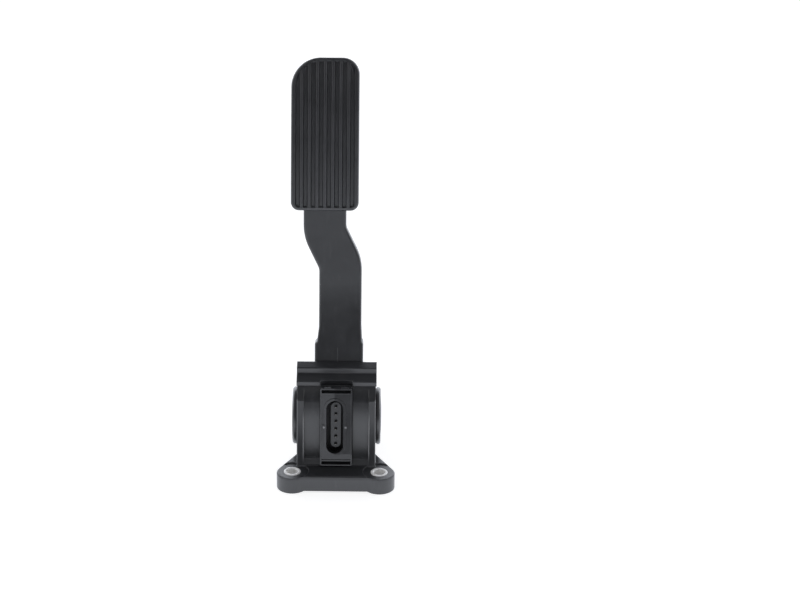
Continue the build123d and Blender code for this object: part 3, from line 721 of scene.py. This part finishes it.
padForm = dict(
    lean=17.5,                      # plane that the outline is drawn in, degrees back from upright
    crownRadius=0.4947,             # of the arm's front face behind the pad
    footLean=13.0,                  # lean of that face at the pad's foot
    proud=0.0068,                   # rubber in front of that face
    wall=0.0030,                    # backing plate that the rubber clips round
    lip=0.0016,
    skirt=0.0020,                   # rubber beside the plate
    skirtFade=0.004,                # the hidden face is drawn in to the skirt over this width
    lipWidth=0.0050,                # lip on the back, from the pad's side
    radiusTopLeft=0.0200,
    radiusTopRight=0.0114,
    radiusBottom=0.0056,
    edge=0.0014,                    # rounded front edge
    edgeSteps=5,
    backEdge=0.0004,
    armHalf=0.0149,                 # gap in the lip where the arm comes in
    armStep=0.00004,                # half the width of the gap's ends
    footSide=-0.9,                  # the outline looks down below this
    grooves=8,
    groovePitch=0.0053,
    grooveWidth=0.0028,
    grooveDepth=0.0022,
    grooveRim=0.0024,
    grooveRound=0.0003,             # half the rounding of a groove's wall, top and bottom
    roundSteps=(-1, -0.6, -0.3, 0, 0.3, 0.6, 1),    # mesh lines over that rounding
    endSteps=(1.6, 3),              # and past it at a groove's ends
    sideSteps=(0.02, 0.08, 0.2, 0.4, 0.7, 1.1, 1.6, 2.2, 2.9),      # mesh lines by the sides, in mm
    innerRows=22,
    closest=0.000015,               # mesh lines nearer than this become one
    leastRim=0.00001,               # keeps the rim above zero on the whole front
)


def padLimits(form):
    # reach of the CAD pad across and along the outline's plane, and the place of its crown
    up, out = leanAxes(form["lean"])
    points = [vertex.co - pivot for vertex in cad["pedal_pad"].data.vertices]
    along = [point.dot(up) for point in points]
    across = [point.x for point in points]
    left, right = min(across), max(across)
    foot, head = min(along), max(along)
    crownHeight = foot + form["crownRadius"] * math.sin(math.radians(form["lean"] - form["footLean"]))
    radius = form["crownRadius"] + form["proud"]
    rises = []
    for point, h in zip(points, along):
        rises.append(point.dot(out) - math.sqrt(radius**2 - (crownHeight - h) ** 2))
    return dict(
        left=left, right=right, middle=(left + right) / 2, foot=foot, head=head, waist=(foot + head) / 2,
        crownHeight=crownHeight, crownDepth=max(rises))


def padRadius(form, limits, x, h):
    if h < limits["waist"]:
        return form["radiusBottom"]
    return form["radiusTopLeft"] if x < limits["middle"] else form["radiusTopRight"]


def padInside(form, limits, x, h):
    # distance in from the outline, and the outward direction
    radius = padRadius(form, limits, x, h)
    sideX = 1 if x > limits["middle"] else -1
    sideH = 1 if h > limits["waist"] else -1
    dx = abs(x - limits["middle"]) - (limits["right"] - limits["left"]) / 2 + radius
    dh = abs(h - limits["waist"]) - (limits["head"] - limits["foot"]) / 2 + radius
    if dx > 0 and dh > 0:
        reach = math.hypot(dx, dh)
        return radius - reach, (sideX * dx / reach, sideH * dh / reach)
    if dx > dh:
        return radius - dx, (sideX, 0)
    return radius - dh, (0, sideH)


def padEnd(form, limits, x, inset, top):
    # height of the inset outline's lower or upper end at x
    end, sign = (limits["head"], -1) if top else (limits["foot"], 1)
    radius = padRadius(form, limits, x, end)
    beside = max(limits["left"] + radius - x, x - limits["right"] + radius, 0)
    return end + sign * (radius - math.sqrt(max((radius - inset) ** 2 - beside**2, 0)))


def padColumns(form, limits):
    first, last = limits["left"] + form["edge"], limits["right"] - form["edge"]
    middle = limits["middle"]
    half = form["grooveWidth"] / 2
    marks = [first, last]
    for step in form["sideSteps"]:
        marks += [first + step / 1000, last - step / 1000]
    for side in (-1, 1):
        marks += [middle + side * (form["armHalf"] + step) for step in (-form["armStep"], form["armStep"])]
    offsets = [0, half * 0.5]
    offsets += [half + form["grooveRound"] * step for step in form["roundSteps"]]
    offsets.append(form["groovePitch"] / 2)
    for index in range(form["grooves"]):
        centre = middle + (index - (form["grooves"] - 1) / 2) * form["groovePitch"]
        for offset in offsets:
            marks += [centre - offset, centre + offset]
    columns = []
    for mark in sorted(marks):
        if first <= mark <= last and (not columns or mark - columns[-1] > form["closest"]):
            columns.append(mark)
    return columns


def padRows(form, low, high):
    start = form["grooveRim"] - form["edge"]
    ends = [0, start * 0.5]
    ends += [start + form["grooveRound"] * step for step in (*form["roundSteps"], *form["endSteps"])]
    rows = [low + end for end in ends]
    first, last = rows[-1], high - ends[-1]
    rows += [first + (last - first) * step / form["innerRows"] for step in range(1, form["innerRows"])]
    return rows + [high - end for end in reversed(ends)]


def padSection(form):
    # steps in from the outline and heights over the arm's face: round the front edge, then round the lip
    inset = form["edge"]
    rounding = []
    for step in range(1, form["edgeSteps"] + 1):
        angle = math.pi / 2 * step / form["edgeSteps"]
        rounding.append((inset - inset * math.sin(angle), form["proud"] - inset + inset * math.cos(angle)))
    back = -form["wall"] - form["lip"]
    heel = form["backEdge"]
    under = [
        (0, back + heel),
        (heel * 0.3, back + heel * 0.3),
        (heel, back),
        (form["lipWidth"] - heel, back),
        (form["lipWidth"], back + heel),
        (form["lipWidth"], -form["wall"]),
        (form["skirt"], -form["wall"]),
    ]
    return rounding, under


def gridBorder(grid):
    bottom = [column[0] for column in grid]
    top = [column[-1] for column in grid]
    return bottom + grid[-1][1:-1] + top[::-1] + grid[0][-2:0:-1]


def padBlank(form, limits):
    inset = form["edge"]
    bm = bmesh.new()
    rimLayer = bm.verts.layers.float.new("rim")
    fronts, backs = [], []
    for x in padColumns(form, limits):
        rows = padRows(form, padEnd(form, limits, x, inset, False), padEnd(form, limits, x, inset, True))
        front, back = [], []
        for h in rows:
            depth, side = padInside(form, limits, x, h)
            spot = bm.verts.new((x, h, form["proud"]))
            spot[rimLayer] = max(depth, form["leastRim"])
            front.append(spot)
            pull = (form["skirt"] - inset) * max(0, 1 - (depth - inset) / form["skirtFade"])
            back.append(bm.verts.new((x - side[0] * pull, h - side[1] * pull, 0)))
        fronts.append(front)
        backs.append(back)
    for grid, flip in ((fronts, False), (backs, True)):
        for first, second in zip(grid, grid[1:]):
            for low in range(len(first) - 1):
                corners = [first[low], second[low], second[low + 1], first[low + 1]]
                bm.faces.new(corners[::-1] if flip else corners)
    rounding, under = padSection(form)
    rings = [gridBorder(fronts)]
    for level, (gap, out) in enumerate(rounding + under):
        ring = []
        for start in rings[0]:
            x, h = start.co.x, start.co.y
            side = padInside(form, limits, x, h)[1]
            atArm = side[1] < form["footSide"] and abs(x - limits["middle"]) < form["armHalf"]
            if atArm and level >= len(rounding):
                share = (level - len(rounding) + 1) / (len(under) + 1)
                place = (x, h + side[1] * (inset - form["skirt"] * share), 0.0)
            else:
                place = (x + side[0] * (inset - gap), h + side[1] * (inset - gap), out)
            ring.append(bm.verts.new(place))
        rings.append(ring)
    rings.append(gridBorder(backs))
    bridgeRings(bm, rings)
    for face in bm.faces:
        face.smooth = True
    return addPiece("padBlank", meshFrom(bm, "padBlank"))


def padTree():
    tree, given = newTree("grooveAndBend", {
        "Groove Count": "Int", "Groove Pitch": "Float", "Groove Width": "Float", "Groove Depth": "Float",
        "Groove Rim": "Float", "Groove Round": "Float", "Middle": "Float", "Crown Radius": "Float",
        "Crown Height": "Float", "Crown Depth": "Float", "Lean": "Float", "Pivot": "Vector",
        "Material": "Material",
    })
    position = addNode(tree, "GeometryNodeInputPosition").outputs[0]
    place = addNode(tree, "ShaderNodeSeparateXYZ", {0: position}).outputs
    rim = addNode(tree, "GeometryNodeInputNamedAttribute", {"Name": "rim"}, data_type="FLOAT").outputs[0]
    # distance from the nearest groove's middle line
    shift = mathNode(tree, "SUBTRACT", place["X"], given["Middle"])
    turn = mathNode(tree, "DIVIDE", shift, given["Groove Pitch"])
    turn = mathNode(tree, "ADD", turn, mathNode(tree, "DIVIDE", given["Groove Count"], 2.0))
    started = mathNode(tree, "GREATER_THAN", turn, 0.0)
    inside = product(tree, started, mathNode(tree, "LESS_THAN", turn, given["Groove Count"]))
    away = mathNode(tree, "ABSOLUTE", mathNode(tree, "SUBTRACT", mathNode(tree, "FRACT", turn), 0.5))
    away = product(tree, away, given["Groove Pitch"])
    half = mathNode(tree, "DIVIDE", given["Groove Width"], 2.0)
    outer = mathNode(tree, "ADD", half, given["Groove Round"])
    inner = mathNode(tree, "SUBTRACT", half, given["Groove Round"])
    across = rangeNode(tree, away, outer, inner)
    rimLow = mathNode(tree, "SUBTRACT", given["Groove Rim"], given["Groove Round"])
    rimHigh = mathNode(tree, "ADD", given["Groove Rim"], given["Groove Round"])
    share = product(tree, across, rangeNode(tree, rim, rimLow, rimHigh), inside)
    note = {"Geometry": given["Geometry"], "Name": "groove", "Value": share}
    noted = addNode(tree, "GeometryNodeStoreNamedAttribute", note, data_type="FLOAT", domain="POINT")
    # height over the arm's face, then round the crown and into the arm's plane
    height = mathNode(tree, "SUBTRACT", place["Z"], product(tree, share, given["Groove Depth"]))
    radius = mathNode(tree, "ADD", given["Crown Radius"], height)
    above = mathNode(tree, "SUBTRACT", place["Y"], given["Crown Height"])
    square = mathNode(tree, "SUBTRACT", product(tree, radius, radius), product(tree, above, above))
    out = mathNode(tree, "ADD", mathNode(tree, "SQRT", square), given["Crown Depth"])
    sine = mathNode(tree, "SINE", given["Lean"])
    cosine = mathNode(tree, "COSINE", given["Lean"])
    y = mathNode(tree, "SUBTRACT", product(tree, place["Y"], sine), product(tree, out, cosine))
    z = mathNode(tree, "ADD", product(tree, place["Y"], cosine), product(tree, out, sine))
    spot = addNode(tree, "ShaderNodeCombineXYZ", {"X": place["X"], "Y": y, "Z": z}).outputs[0]
    spot = vectorNode(tree, "ADD", {0: spot, 1: given["Pivot"]})
    moved = addNode(tree, "GeometryNodeSetPosition", {"Geometry": noted.outputs[0], "Position": spot})
    endTree(tree, moved.outputs[0], given["Material"])
    return tree


def makePad(form):
    limits = padLimits(form)
    piece = runTree(padBlank(form, limits), padTree(), {
        "Groove Count": form["grooves"],
        "Groove Pitch": form["groovePitch"],
        "Groove Width": form["grooveWidth"],
        "Groove Depth": form["grooveDepth"],
        "Groove Rim": form["grooveRim"],
        "Groove Round": form["grooveRound"],
        "Middle": limits["middle"],
        "Crown Radius": form["crownRadius"],
        "Crown Height": limits["crownHeight"],
        "Crown Depth": limits["crownDepth"],
        "Lean": math.radians(form["lean"]),
        "Pivot": pivot,
        "Material": padFinish,
    }, "rubberPad")
    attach(piece, "pedal")
    finishPiece(piece, "pedal_pad")


makePad(padForm)


# bolt sleeves: one turned ring, set in every lug

sleeveForm = dict(
    boreRadius=0.0038,
    outerRadius=0.0058,
    chamfer=0.00035,
    chamferSteps=3,
    sides=72,
)


def sleevePlaces(form):
    # foot of each sleeve of the CAD node, and their length
    low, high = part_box("mounting_sleeves")
    radius = form["outerRadius"]
    middle = (low.y + high.y) / 2
    points = [vertex.co for vertex in cad["mounting_sleeves"].data.vertices]
    rear = max(abs(point.x) for point in points if point.y > middle) - radius
    rows = ((high.x - radius, low.y + radius), (rear, high.y - radius))
    return [(side * x, y, low.z) for x, y in rows for side in (-1, 1)], high.z - low.z


def sleeveTree():
    tree, given = newTree("turnedSleeves", {
        "Bore Radius": "Float", "Outer Radius": "Float", "Length": "Float", "Chamfer": "Float",
        "Chamfer Steps": "Int", "Sides": "Int", "Material": "Material",
    })
    wall = mathNode(tree, "SUBTRACT", given["Outer Radius"], given["Bore Radius"])
    middle = mathNode(tree, "DIVIDE", mathNode(tree, "ADD", given["Outer Radius"], given["Bore Radius"]), 2.0)
    height = mathNode(tree, "DIVIDE", given["Length"], 2.0)
    walls = {"Width": wall, "Height": given["Length"]}
    section = addNode(tree, "GeometryNodeCurvePrimitiveQuadrilateral", walls)
    rounding = {"Curve": section.outputs[0], "Radius": given["Chamfer"], "Count": given["Chamfer Steps"]}
    section = addNode(tree, "GeometryNodeFilletCurve", rounding, mode="POLY")
    circle = {"Resolution": given["Sides"], "Radius": middle}
    path = addNode(tree, "GeometryNodeCurvePrimitiveCircle", circle)
    ring = addNode(tree, "GeometryNodeCurveToMesh", {0: path.outputs[0], 1: section.outputs[0]})
    raised = addNode(tree, "ShaderNodeCombineXYZ", {"Z": height}).outputs[0]
    ring = addNode(tree, "GeometryNodeTransform", {"Geometry": ring.outputs[0], "Translation": raised})
    ring = addNode(tree, "GeometryNodeSetShadeSmooth", {0: ring.outputs[0]})
    stamp = {"Points": given["Geometry"], "Instance": ring.outputs[0]}
    rows = addNode(tree, "GeometryNodeInstanceOnPoints", stamp)
    endTree(tree, rows.outputs[0], given["Material"])
    return tree


def makeSleeves(form):
    places, length = sleevePlaces(form)
    mesh = bpy.data.meshes.new("sleevePlaces")
    mesh.from_pydata(places, [], [])
    piece = runTree(addPiece("sleevePlaces", mesh), sleeveTree(), {
        "Bore Radius": form["boreRadius"],
        "Outer Radius": form["outerRadius"],
        "Length": length,
        "Chamfer": form["chamfer"],
        "Chamfer Steps": form["chamferSteps"],
        "Sides": form["sides"],
        "Material": sleeveFinish,
    }, "turnedSleeves")
    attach(piece, "base")
    finishPiece(piece, "mounting_sleeves")


makeSleeves(sleeveForm)


# terminals: one blade with a tapered tip, repeated along the socket

terminalForm = dict(
    lean=15.0,                      # of the connector, degrees back from upright
    count=6,
    thickness=0.0008,
    edge=0.00015,
    tip=(                           # back from the end, share of width, share of thickness
        (0.0, 0.55, 0.45),
        (0.00035, 0.85, 0.80),
        (0.0010, 1.0, 1.0),
    ),
)


def bladeSection(form, width, share):
    # a rectangle with cut corners
    halfX, halfH = width / 2 * share[0], form["thickness"] / 2 * share[1]
    cut = form["edge"] * min(share)
    return [
        (halfX - cut, -halfH), (halfX, -halfH + cut), (halfX, halfH - cut), (halfX - cut, halfH),
        (cut - halfX, halfH), (-halfX, halfH - cut), (-halfX, cut - halfH), (cut - halfX, -halfH),
    ]


def terminalBlade(form):
    # the lowest blade of the CAD node, and the step to the next one up
    up, out = leanAxes(form["lean"])
    points = [vertex.co for vertex in cad["connector_terminals"].data.vertices]
    heights = [point.dot(up) for point in points]
    reaches = [point.dot(out) for point in points]
    low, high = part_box("connector_terminals")
    middle, width = (low.x + high.x) / 2, high.x - low.x
    first = min(heights) + form["thickness"] / 2
    pitch = (max(heights) - min(heights) - form["thickness"]) / (form["count"] - 1)
    sections = [(min(reaches), (1, 1))]
    for back, narrow, thin in reversed(form["tip"]):
        sections.append((max(reaches) - back, (narrow, thin)))
    bm = bmesh.new()
    rings = []
    for reach, share in sections:
        ring = []
        for x, h in bladeSection(form, width, share):
            ring.append(bm.verts.new(Vector((middle + x, 0, 0)) + up * (first + h) + out * reach))
        rings.append(ring)
    bridgeRings(bm, rings)
    bm.faces.new(rings[0])
    bm.faces.new(rings[-1][::-1])
    bmesh.ops.recalc_face_normals(bm, faces=bm.faces)
    return addPiece("terminalBlade", meshFrom(bm, "terminalBlade")), up * pitch


def terminalTree():
    tree, given = newTree("terminalRow", {"Count": "Int", "Step": "Vector", "Material": "Material"})
    line = {"Count": given["Count"], "Offset": given["Step"]}
    row = addNode(tree, "GeometryNodeMeshLine", line, mode="OFFSET")
    stamp = {"Points": row.outputs[0], "Instance": given["Geometry"]}
    blades = addNode(tree, "GeometryNodeInstanceOnPoints", stamp)
    endTree(tree, blades.outputs[0], given["Material"])
    return tree


def makeTerminals(form):
    blade, step = terminalBlade(form)
    piece = runTree(blade, terminalTree(), {
        "Count": form["count"],
        "Step": step,
        "Material": terminalFinish,
    }, "terminalRow")
    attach(piece, "base")
    finishPiece(piece, "connector_terminals")


makeTerminals(terminalForm)


# return springs: wire wound round the hub, with a leg at each end

springForm = dict(
    coilRadius=0.0115,
    wireRadius=0.0010,
    turns=3.25,
    stepsPerTurn=48,
    frontLeg=0.0135,                # to the front, under a ledge inside the housing's front wall
    rearLeg=0.0150,                 # upwards, behind the arm's peg
    sides=16,
)


def springPath(form, outer, inner):
    # from the front leg under the hub, round by the rear and in towards the arm
    radius = form["coilRadius"]
    steps = round(form["turns"] * form["stepsPerTurn"])
    points = [Vector((outer, pivot.y - form["frontLeg"], pivot.z - radius))]
    for step in range(steps + 1):
        angle = math.tau * form["turns"] * step / steps
        x = outer + (inner - outer) * step / steps
        points.append(Vector((x, pivot.y + radius * math.sin(angle), pivot.z - radius * math.cos(angle))))
    points.append(Vector((inner, pivot.y + radius, pivot.z + form["rearLeg"])))
    return points


def springTree():
    tree, given = newTree("woundSpring", {"Wire Radius": "Float", "Sides": "Int", "Material": "Material"})
    circle = {"Resolution": given["Sides"], "Radius": given["Wire Radius"]}
    section = addNode(tree, "GeometryNodeCurvePrimitiveCircle", circle)
    sweep = {0: given["Geometry"], 1: section.outputs[0], "Fill Caps": True}
    wire = addNode(tree, "GeometryNodeCurveToMesh", sweep)
    smooth = addNode(tree, "GeometryNodeSetShadeSmooth", {0: wire.outputs[0]})
    endTree(tree, smooth.outputs[0], given["Material"])
    return tree


def pathCurve(name, points):
    curve = bpy.data.curves.new(name, "CURVE")
    curve.dimensions = "3D"
    spline = curve.splines.new("POLY")
    spline.points.add(len(points) - 1)
    for spot, point in zip(spline.points, points):
        spot.co = (*point, 1)
    return addPiece(name, curve)


def makeSprings(form):
    tree = springTree()
    wire = form["wireRadius"]
    for side, sign in (("left", -1), ("right", 1)):
        low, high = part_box(side + "_return_spring")
        ends = sorted((abs(low.x), abs(high.x)))
        path = springPath(form, sign * (ends[1] - wire), sign * (ends[0] + wire))
        piece = runTree(pathCurve(side + "SpringPath", path), tree, {
            "Wire Radius": wire,
            "Sides": form["sides"],
            "Material": springFinish,
        }, side + "Spring")
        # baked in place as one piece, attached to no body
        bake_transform(piece)
        finishPiece(piece, side + "_return_spring")


makeSprings(springForm)
